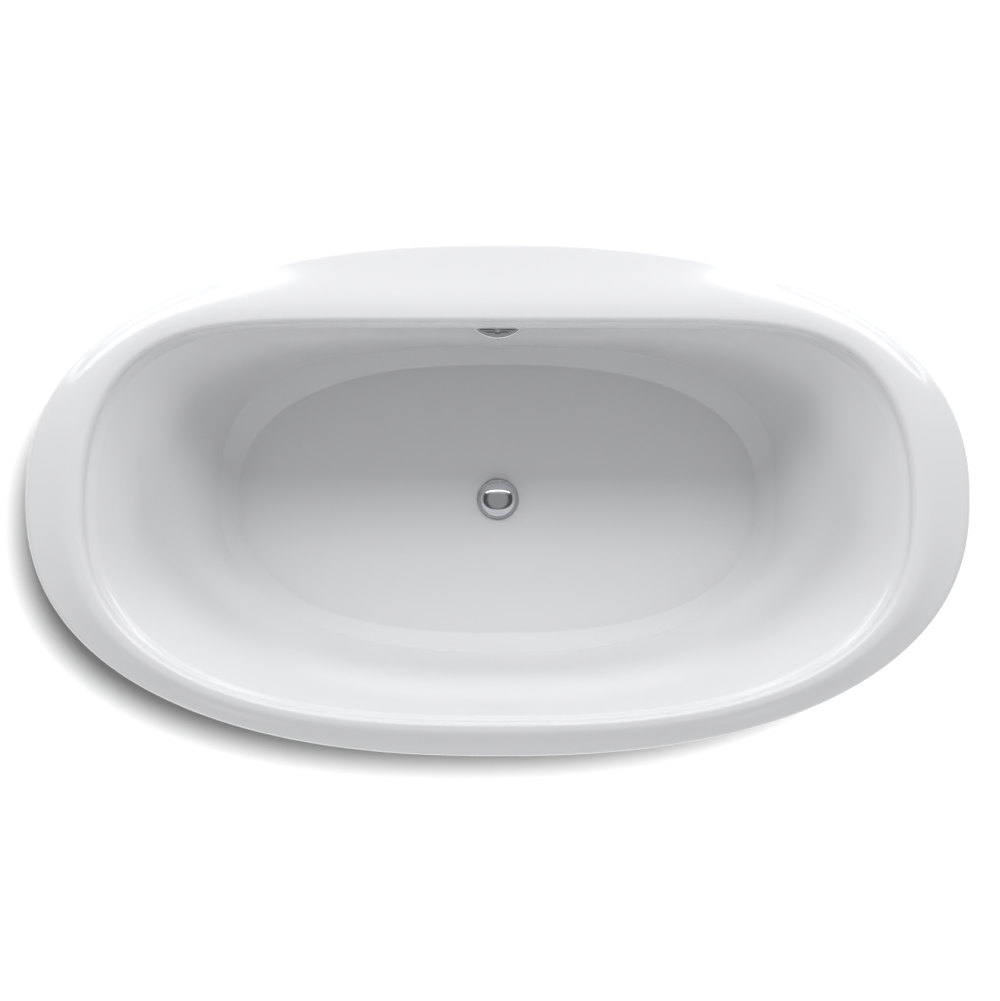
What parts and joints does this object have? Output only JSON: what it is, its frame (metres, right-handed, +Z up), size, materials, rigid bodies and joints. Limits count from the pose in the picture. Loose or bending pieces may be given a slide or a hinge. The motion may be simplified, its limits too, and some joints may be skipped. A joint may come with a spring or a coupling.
{
  "type": "freestanding bathtub",
  "caption": "Oval freestanding bath with a wide back rim, smooth outer skirt, steel cradle on levelling feet, pop-up waste and a scoop overflow.",
  "frame": {"origin": "on the room's floor under the middle of the bath", "axes": "+X along the bath, +Y to the back where the wide rim and the overflow are, +Z up"},
  "size_m": [1.664, 0.906, 0.61],
  "materials": {
    "white_acrylic": "polished white sanitary acrylic",
    "chrome": "polished chrome plate on brass",
    "white_sealant": "cured white silicone",
    "plywood": "birch plywood, unfinished",
    "galvanised_steel": "galvanised, matt spangle",
    "zinc_steel": "bright zinc plate",
    "black_nylon": "moulded nylon, fine grain",
    "black_rubber": "moulded rubber",
    "red_fibre": "pressed fibre",
    "brass": "machined brass",
    "white_pvc": "moulded white PVC",
    "spring_steel": "drawn stainless wire"
  },
  "bodies": {
    "bath": {"bath_shell": "white_acrylic", "board_screws": "zinc_steel", "board_tabs": "galvanised_steel", "bracket_screws": "zinc_steel", "cross_member_left": "galvanised_steel", "cross_member_right": "galvanised_steel", "cross_pipe": "white_pvc", "deck_batten": "plywood", "drain_flange": "chrome", "drain_locknut": "brass", "end_arm_left": "galvanised_steel", "end_arm_right": "galvanised_steel", "fibre_washer": "red_fibre", "flange_gasket": "black_rubber", "floor_board": "plywood", "foot_bushes": "galvanised_steel", "foot_locknuts": "zinc_steel", "long_rail_back": "galvanised_steel", "long_rail_front": "galvanised_steel", "mid_member_left": "galvanised_steel", "mid_member_right": "galvanised_steel", "outer_skirt": "white_acrylic", "overflow_gasket": "black_rubber", "overflow_housing": "white_pvc", "overflow_trim": "chrome", "rim_bead": "white_sealant", "riser_pipe": "white_pvc", "rubber_washer": "black_rubber", "skirt_blocks": "plywood", "skirt_brackets": "galvanised_steel", "slip_nuts": "black_nylon", "slip_washers": "black_rubber", "stopper_cartridge": "white_pvc", "stopper_spring": "spring_steel", "tailpiece": "white_pvc", "trim_screw": "zinc_steel", "tube_caps": "black_nylon", "waste_elbow": "white_pvc", "waste_tee": "white_pvc"},
    "stopper": {"stopper_cap": "chrome", "stopper_seal": "black_rubber", "stopper_stem": "brass"},
    "foot_front_left": {"foot_pad_front_left": "black_nylon", "foot_sole_front_left": "black_rubber"},
    "stud_front_left": {"foot_stud_front_left": "zinc_steel"},
    "foot_front_right": {"foot_pad_front_right": "black_nylon", "foot_sole_front_right": "black_rubber"},
    "stud_front_right": {"foot_stud_front_right": "zinc_steel"},
    "foot_back_left": {"foot_pad_back_left": "black_nylon", "foot_sole_back_left": "black_rubber"},
    "stud_back_left": {"foot_stud_back_left": "zinc_steel"},
    "foot_back_right": {"foot_pad_back_right": "black_nylon", "foot_sole_back_right": "black_rubber"},
    "stud_back_right": {"foot_stud_back_right": "zinc_steel"}
  },
  "joints": [
    {"name": "stopper_lift", "type": "slide", "parent": "bath", "child": "stopper", "axis": [0, 0, 1], "range_m": [-0.009, 0], "deforming": ["stopper_spring"]},
    {"name": "foot_height_front_left", "type": "slide", "parent": "bath", "child": "foot_front_left", "axis": [0, 0, 1], "range_m": [-0.015, 0.004]},
    {"name": "stud_turn_front_left", "type": "hinge", "parent": "foot_front_left", "child": "stud_front_left", "pos_m": [-0.4, -0.228, 0.05], "axis": [0, 0, 1], "range_deg": [-3090, 825]},
    {"name": "foot_height_front_right", "type": "slide", "parent": "bath", "child": "foot_front_right", "axis": [0, 0, 1], "range_m": [-0.015, 0.004]},
    {"name": "stud_turn_front_right", "type": "hinge", "parent": "foot_front_right", "child": "stud_front_right", "pos_m": [0.4, -0.228, 0.05], "axis": [0, 0, 1], "range_deg": [-3090, 825]},
    {"name": "foot_height_back_left", "type": "slide", "parent": "bath", "child": "foot_back_left", "axis": [0, 0, 1], "range_m": [-0.015, 0.004]},
    {"name": "stud_turn_back_left", "type": "hinge", "parent": "foot_back_left", "child": "stud_back_left", "pos_m": [-0.4, 0.228, 0.05], "axis": [0, 0, 1], "range_deg": [-3090, 825]},
    {"name": "foot_height_back_right", "type": "slide", "parent": "bath", "child": "foot_back_right", "axis": [0, 0, 1], "range_m": [-0.015, 0.004]},
    {"name": "stud_turn_back_right", "type": "hinge", "parent": "foot_back_right", "child": "stud_back_right", "pos_m": [0.4, 0.228, 0.05], "axis": [0, 0, 1], "range_deg": [-3090, 825]}
  ],
  "couplings": [
    {"joint": "stud_turn_front_left", "follows": "foot_height_front_left", "rad_per_m": 3590.4},
    {"joint": "stud_turn_front_right", "follows": "foot_height_front_right", "rad_per_m": 3590.4},
    {"joint": "stud_turn_back_left", "follows": "foot_height_back_left", "rad_per_m": 3590.4},
    {"joint": "stud_turn_back_right", "follows": "foot_height_back_right", "rad_per_m": 3590.4}
  ]
}
